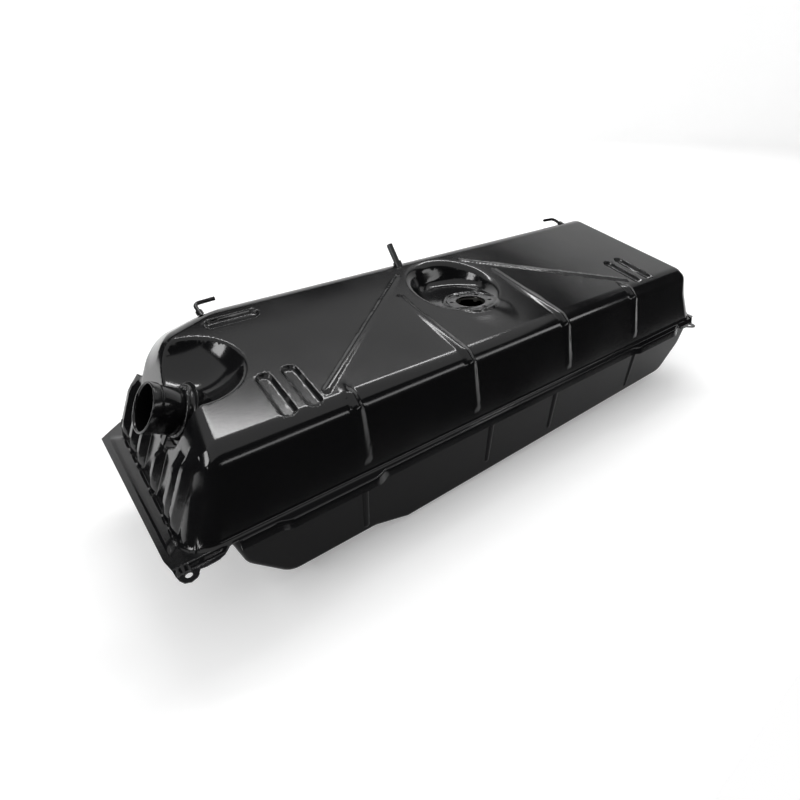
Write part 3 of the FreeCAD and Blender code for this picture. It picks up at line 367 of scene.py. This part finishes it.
OUTLINE += [(1.02, 429.0, 13.7), (1.06, 440.0, 21.0), (1.94, 440.0, 265.0),
            (2.03, 414.0, 291.0), (2.97, -446.0, 291.0), (3.05, -472.0, 265.0)]


def soft_box(p):
    """The plain box with wide bends, joined to the flange: its slope gives the way to strike."""
    body, left = plain_box(p[:, 0], p[:, 1], p[:, 2], 12.0)
    return concave(body, p[:, 2], 6.0)


def slope_of(shape, p, step):
    """Which way a shape's surface faces at each point."""
    parts = [shape(p + step * axis) - shape(p - step * axis) for axis in np.eye(3)]
    lean = np.stack(parts, axis=1)
    return lean / np.maximum(np.linalg.norm(lean, axis=1, keepdims=True), 1e-9)


def struck(p):
    """The whole upper pressing, flange included. The ears step down from the flange."""
    x, y = p[:, 0], p[:, 1]
    near_ear = np.where(x < 0, np.clip((-406.0 - x) / 10, 0, 1), np.clip((x - 366.0) / 8, 0, 1))
    fall = np.clip((-2.0 - y) / 5.0, 0, 1)
    level = -EAR_DROP * fall * fall * (3 - 2 * fall) * near_ear
    return concave(pressing(x, y, p[:, 2]), p[:, 2] - level, 3.0)


# The sheet starts outside the shape and is driven in by a share of what is left, many times.
STRIKE_FROM, STROKES, STROKE_SHARE = 14.0, 80, 0.85
BAND_HEIGHT = 1.6


def strike(cells):
    """Lays the tray's flat cells over the plain box and drives them on to the struck shape."""
    s, t, ring = (cells[:, 0] + 1) / 2, (cells[:, 1] + 1) / 2, -cells[:, 2]
    front_side, rear_side = (t < 1e-6) & (ring > 0), (t > 1 - 1e-6) & (ring > 0)
    right_side = (s > 1 - 1e-6) & (ring > 0)
    walls = BEVEL_RINGS + WALL_RINGS
    down, knee = np.clip(ring / walls, 0, 1), BEVEL_RINGS / walls
    front_z = np.where(down < knee, TOP_RISE - (TOP_RISE - BEVEL_RISE) * down / knee,
                       BEVEL_RISE * (1 - (down - knee) / (1 - knee)))
    front_y = np.where(down < knee, TOP_BACK - BEVEL_RUN * down / knee, front_z * FRONT_LEAN)
    rear_z = top_rise(REAR_TOP) * (1 - down)
    rear_y = REAR_ROOT - rear_z * REAR_LEAN
    y = front_y + (rear_y - front_y) * t
    z = np.where(ring > 0, front_z + (rear_z - front_z) * t, top_rise(y))
    left_x, right_x = LEFT_ROOT + z * LEFT_LEAN, RIGHT_ROOT - z * RIGHT_LEAN
    x = left_x + (right_x - left_x) * s
    # The rings of the flange run from the root out to its outline.
    way = np.where(front_side, s, np.where(right_side, 1 + t, np.where(rear_side, 3 - s, 4 - t)))
    way = np.where(way > OUTLINE[-1][0], way - 4, way)
    outline = np.array(OUTLINE)
    spread = np.interp(ring - walls, range(len(FLANGE_RINGS) + 1), (0.0,) + FLANGE_RINGS)
    x = x + (np.interp(way, outline[:, 0], outline[:, 1]) - x) * spread
    y = y + (np.interp(way, outline[:, 0], outline[:, 2]) - y) * spread
    rest = np.stack([x, y, z], axis=1)
    way_out = slope_of(soft_box, rest, 0.5)
    way_out[ring > walls + 2] = (0, 0, 1)
    skin = rest + way_out * STRIKE_FROM
    for stroke in range(STROKES):
        skin = skin - way_out * (struck(skin) * STROKE_SHARE)[:, None]
    # The left flange is stiffened by a raised band beside the wall.
    band = np.interp(spread, (0.0, 0.12, 0.62, 0.70), (0.0, 1.0, 1.0, 0.0))
    band = band * np.interp(way, (-0.95, -0.92, -0.13, -0.10), (0.0, 1.0, 1.0, 0.0))
    skin[:, 2] += BAND_HEIGHT * band
    # Then the lip is turned down along the front, round a small bend.
    lip = np.interp(ring - ring_count, range(len(LIP_DROPS) + 1), (0.0,) + LIP_DROPS)
    skin[:, 2] -= lip
    skin[:, 1] -= np.sqrt(LIP_BEND ** 2 - (LIP_BEND - np.minimum(lip, LIP_BEND)) ** 2)
    skin[:, 1] -= np.maximum(lip - LIP_BEND, 0) * LIP_LEAN
    return skin


# Cells are halved where the sheet bends, until each bend is smooth: (degrees, shortest edge).
for bend_limit, shortest in ((9.0, 2.0), (12.0, 1.4), (16.0, 0.9), (24.0, 0.55)):
    skin = strike(np.array([v.co for v in tray.verts], float))
    lean = slope_of(struck, skin, 0.2)
    tray.edges.ensure_lookup_table()
    pairs = np.array([[v.index for v in e.verts] for e in tray.edges])
    agree = (lean[pairs[:, 0]] * lean[pairs[:, 1]]).sum(axis=1)
    bent = np.degrees(np.arccos(np.clip(agree, -1, 1)))
    length = np.linalg.norm(skin[pairs[:, 0]] - skin[pairs[:, 1]], axis=1)
    on_lip = np.array([min(v.co.z for v in e.verts) < -ring_count for e in tray.edges])
    busy = np.where((bent > bend_limit) & (length > shortest) & ~on_lip)[0]
    bmesh.ops.subdivide_edges(tray, edges=[tray.edges[i] for i in busy], cuts=1)
    tray.verts.index_update()
skin = strike(np.array([v.co for v in tray.verts], float))
for face in tray.faces:
    face.smooth = True
for v, spot in zip(tray.verts, skin):
    v.co = (spot[0] / 1000, (spot[1] + FRONT_ROOT) / 1000, (spot[2] + FLANGE_RISE) / 1000)
bmesh.ops.recalc_face_normals(tray, faces=tray.faces)
highest = max(tray.verts, key=lambda v: v.co.z)
highest.normal_update()
if highest.normal.z < 0:
    bmesh.ops.reverse_faces(tray, faces=tray.faces)
upper = bpy.data.objects.new("upper_pressing", bpy.data.meshes.new("upper_pressing"))
tray.to_mesh(upper.data)
tray.free()
bpy.context.scene.collection.objects.link(upper)
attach(upper, "root")
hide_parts("upper_shell")

sheet = upper.modifiers.new("sheet", "SOLIDIFY")
sheet.thickness = SHEET / 1000
sheet.offset = -1.0


def placed(centre, axis):
    """Matrix that sets a turned form, made upright at the origin, on its centre and axis."""
    spot = Matrix.Translation((centre[0] / 1000, (centre[1] + FRONT_ROOT) / 1000,
                               (centre[2] + FLANGE_RISE) / 1000))
    return spot @ Vector(axis).to_track_quat("Z", "Y").to_matrix().to_4x4()


# One cutter for the openings: the sender's well and screws, the neck and the ears. Each has its
# centre, axis, radius and the reach of the cut to either side.
NECK_BORE, WELL_RADIUS, SCREW_CIRCLE, SCREW_HOLE, EAR_HOLE = 24.6, 20.5, 27.0, 2.75, 3.3
upright = (0, 0, 1)
openings = [(SEAT, upright, WELL_RADIUS, 12.0), (NECK_ROOT, NECK_AXIS, NECK_BORE, 20.0),
            ((EAR_LEFT, EAR_BACK, -EAR_DROP), upright, EAR_HOLE, 6.0),
            ((EAR_RIGHT, EAR_BACK, -EAR_DROP), upright, EAR_HOLE, 6.0)]
for screw in range(6):
    angle = math.radians(90 + 60 * screw)
    centre = SEAT + SCREW_CIRCLE * np.array([math.cos(angle), math.sin(angle), 0])
    openings.append((centre, upright, SCREW_HOLE, 6.0))
punch = bmesh.new()
for centre, axis, radius, reach in openings:
    bmesh.ops.create_cone(punch, cap_ends=True, segments=96 if radius > 10 else 32,
                          radius1=radius / 1000, radius2=radius / 1000,
                          depth=2 * reach / 1000, matrix=placed(centre, axis))
punch_mesh = bpy.data.meshes.new("punch")
punch.to_mesh(punch_mesh)
punch.free()
punch_object = bpy.data.objects.new("punch", punch_mesh)
bpy.context.scene.collection.objects.link(punch_object)
holes = upper.modifiers.new("holes", "BOOLEAN")
holes.operation = "DIFFERENCE"
holes.solver = "EXACT"
holes.object = punch_object
bpy.context.view_layer.update()
finished = bpy.data.meshes.new_from_object(
    upper.evaluated_get(bpy.context.evaluated_depsgraph_get()))
upper.modifiers.clear()
upper.data = finished
bpy.data.objects.remove(punch_object)

# The shading follows the exact slope of the struck shape, where a point lies on the outer or the
# inner face of the sheet. Elsewhere, as on the walls of the holes, it follows the faces.
corners = len(finished.loops)
corner_vert, corner_normal = np.empty(corners, int), np.empty(corners * 3)
finished.loops.foreach_get("vertex_index", corner_vert)
finished.corner_normals.foreach_get("vector", corner_normal)
corner_normal = corner_normal.reshape(-1, 3)
face_count = len(finished.polygons)
face_normal, face_size = np.empty(face_count * 3), np.empty(face_count, int)
finished.polygons.foreach_get("normal", face_normal)
finished.polygons.foreach_get("loop_total", face_size)
face_normal = np.repeat(face_normal.reshape(-1, 3), face_size, axis=0)
spots = np.empty(len(finished.vertices) * 3)
finished.vertices.foreach_get("co", spots)
spots = spots.reshape(-1, 3) * 1000 - (0, FRONT_ROOT, FLANGE_RISE)
depth = struck(spots)
lean = slope_of(struck, spots, 0.2)
lean = np.where(depth[:, None] < -SHEET / 2, -lean, lean)
sure = (np.abs(depth) < 0.06) | (np.abs(depth + SHEET) < 0.3)
lean, sure = lean[corner_vert], sure[corner_vert]
sure &= (lean * face_normal).sum(axis=1) > 0.8
sharp = ~sure & ((corner_normal * face_normal).sum(axis=1) < 0.8)
corner_normal = np.where(sure[:, None], lean, np.where(sharp[:, None], face_normal, corner_normal))
finished.normals_split_custom_set(corner_normal.tolist())


def black_paint(name, gloss, grain, shine=0.42):
    """Thick gloss black over steel: a slight orange peel, and dust that dulls it here and there."""
    made = bpy.data.materials.new(name)
    made.use_nodes = True
    nodes, links = made.node_tree.nodes, made.node_tree.links
    shader = nodes["Principled BSDF"]
    shader.inputs["Base Color"].default_value = (0.0045, 0.0045, 0.005, 1)
    shader.inputs["Specular IOR Level"].default_value = shine
    place = nodes.new("ShaderNodeTexCoord")
    cloud = nodes.new("ShaderNodeTexNoise")
    cloud.inputs["Scale"].default_value = 9.0
    cloud.inputs["Detail"].default_value = 5.0
    links.new(place.outputs["Object"], cloud.inputs["Vector"])
    dull = nodes.new("ShaderNodeMapRange")
    dull.inputs["From Min"].default_value = 0.35
    dull.inputs["From Max"].default_value = 0.75
    dull.inputs["To Min"].default_value = gloss
    dull.inputs["To Max"].default_value = gloss + 0.08
    links.new(cloud.outputs["Fac"], dull.inputs["Value"])
    links.new(dull.outputs["Result"], shader.inputs["Roughness"])
    peel = nodes.new("ShaderNodeTexNoise")
    peel.inputs["Scale"].default_value = 260.0
    peel.inputs["Detail"].default_value = 2.0
    links.new(place.outputs["Object"], peel.inputs["Vector"])
    bump = nodes.new("ShaderNodeBump")
    bump.inputs["Strength"].default_value = grain
    bump.inputs["Distance"].default_value = 0.0003
    links.new(peel.outputs["Fac"], bump.inputs["Height"])
    links.new(bump.outputs["Normal"], shader.inputs["Normal"])
    return made


body_paint = black_paint("body_paint", 0.11, 0.06)
upper.data.materials.clear()
upper.data.materials.append(body_paint)

# Lower pressing.
# The lower half, drawn from the same sheet and seam-welded under the flange.
# Its paint has a duller gloss and only about a fifth of the body paint's shine. The low shine is
# painted shade: it makes the lower half mirror its surroundings darker.


def coat(node, material):
    """Gives a solid that is kept from the frame its finished material."""
    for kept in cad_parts[node].material_slots:
        kept.material = material


# Painted shade: this copy of the black paint has its shine cut to 0.08, so its reflections come out
# darker than the body's.
coat("lower_shell", black_paint("lower_paint_shaded", 0.2, 0.12, 0.08))

# Filler neck.
# Straight steel tube with a rolled bead at its mouth, pushed through a turned collar and
# brazed there all round. A small lug under it takes the earth lead.
neck_paint = black_paint("neck_paint", 0.12, 0.2)


def turned(name, corners, centre, axis, weld=None):
    """Ring turned from a closed profile of (radius, height, bend of the corner), in mm.

    Between the two heights in weld it is lumpy, as a brazed bead laid by hand is.
    """
    points = []
    for i, (radius, height, bend) in enumerate(corners):
        here = Vector((radius, height))
        before = Vector(corners[i - 1][:2]) - here
        after = Vector(corners[(i + 1) % len(corners)][:2]) - here
        if bend == 0:
            points.append(here)
            continue
        start, end = here + before.normalized() * bend, here + after.normalized() * bend
        for share in (0.0, 0.25, 0.5, 0.75, 1.0):
            points.append(start.lerp(here, share).lerp(here.lerp(end, share), share))
    mesh = bmesh.new()
    loop = [mesh.verts.new((p.x / 1000, 0, p.y / 1000)) for p in points]
    edges = [mesh.edges.new((loop[i - 1], loop[i])) for i in range(len(loop))]
    bmesh.ops.spin(mesh, geom=loop + edges, cent=(0, 0, 0), axis=(0, 0, 1),
                   angle=math.tau, steps=128, use_merge=True)
    if weld:
        for v in mesh.verts:
            if weld[0] < v.co.z * 1000 < weld[1]:
                angle = math.atan2(v.co.y, v.co.x)
                lump = 0.22 * math.sin(31 * angle) + 0.18 * math.sin(47 * angle + 1.3)
                grow = 1 + lump / (v.co.xy.length * 1000)
                v.co.x, v.co.y = v.co.x * grow, v.co.y * grow
                v.co.z += 0.00012 * math.sin(23 * angle + 0.4)
    bmesh.ops.transform(mesh, matrix=placed(centre, axis), verts=mesh.verts)
    bmesh.ops.recalc_face_normals(mesh, faces=mesh.faces)
    for face in mesh.faces:
        face.smooth = True
    ring = bpy.data.objects.new(name, bpy.data.meshes.new(name))
    mesh.to_mesh(ring.data)
    mesh.free()
    bpy.context.scene.collection.objects.link(ring)
    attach(ring, "root")
    ring.data.materials.append(neck_paint)
    return ring


neck = turned("neck_tube", [(23.0, -16.0, 0), (24.5, -16.0, 0), (24.5, 29.6, 0.8),
                            (25.2, 30.4, 0.4), (26.0, 31.8, 0.7), (26.0, 40.0, 1.0),
                            (24.0, 40.0, 0.5), (23.0, 38.4, 0.8)], NECK_ROOT, NECK_AXIS)
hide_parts("filler_neck")
collar = turned("neck_foot", [(24.6, 0.0, 0), (33.0, 0.0, 0), (33.0, 1.2, 0.5), (28.4, 1.3, 1.2),
                              (27.2, 3.0, 0.8), (27.0, 6.0, 0.5), (27.6, 6.6, 0.5),
                              (26.6, 8.4, 0.8), (24.6, 9.0, 0.3)],
                NECK_ROOT, NECK_AXIS, weld=(5.8, 9.2))
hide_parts("neck_collar")
coat("neck_tab", neck_paint)

# Vent pipes.
# Thin steel tubes for the vent and return hoses, bent by hand, each pushed through a turned boss
# at the rear edge of the top and brazed there before the tank is painted.
for side in ("left", "centre", "right"):
    coat("vent_pipe_" + side, neck_paint)
    coat("vent_boss_" + side, neck_paint)

# Sender ring, nuts, baffles and pot.
# Pressed and plated steel inside the tank, spot-welded to the sheet before the halves are
# joined, and seen only through the sender opening.
plated = bpy.data.materials.new("plated_steel")
plated.use_nodes = True
plate = plated.node_tree.nodes["Principled BSDF"]
plate.inputs["Metallic"].default_value = 1.0
plate_nodes, plate_links = plated.node_tree.nodes, plated.node_tree.links
place = plate_nodes.new("ShaderNodeTexCoord")
blotch = plate_nodes.new("ShaderNodeTexNoise")
blotch.inputs["Scale"].default_value = 24.0
blotch.inputs["Detail"].default_value = 6.0
plate_links.new(place.outputs["Object"], blotch.inputs["Vector"])
tint = plate_nodes.new("ShaderNodeValToRGB")
tint.color_ramp.elements[0].position = 0.35
tint.color_ramp.elements[0].color = (0.30, 0.29, 0.26, 1)
tint.color_ramp.elements[1].position = 0.7
tint.color_ramp.elements[1].color = (0.48, 0.48, 0.46, 1)
plate_links.new(blotch.outputs["Fac"], tint.inputs["Fac"])
plate_links.new(tint.outputs["Color"], plate.inputs["Base Color"])
wear = plate_nodes.new("ShaderNodeMapRange")
wear.inputs["To Min"].default_value = 0.28
wear.inputs["To Max"].default_value = 0.5
plate_links.new(blotch.outputs["Fac"], wear.inputs["Value"])
plate_links.new(wear.outputs["Result"], plate.inputs["Roughness"])
for name in ("sender_ring", "baffle_left", "baffle_right", "swirl_pot",
             *["sender_nut_%d" % i for i in range(1, 7)]):
    coat(name, plated)
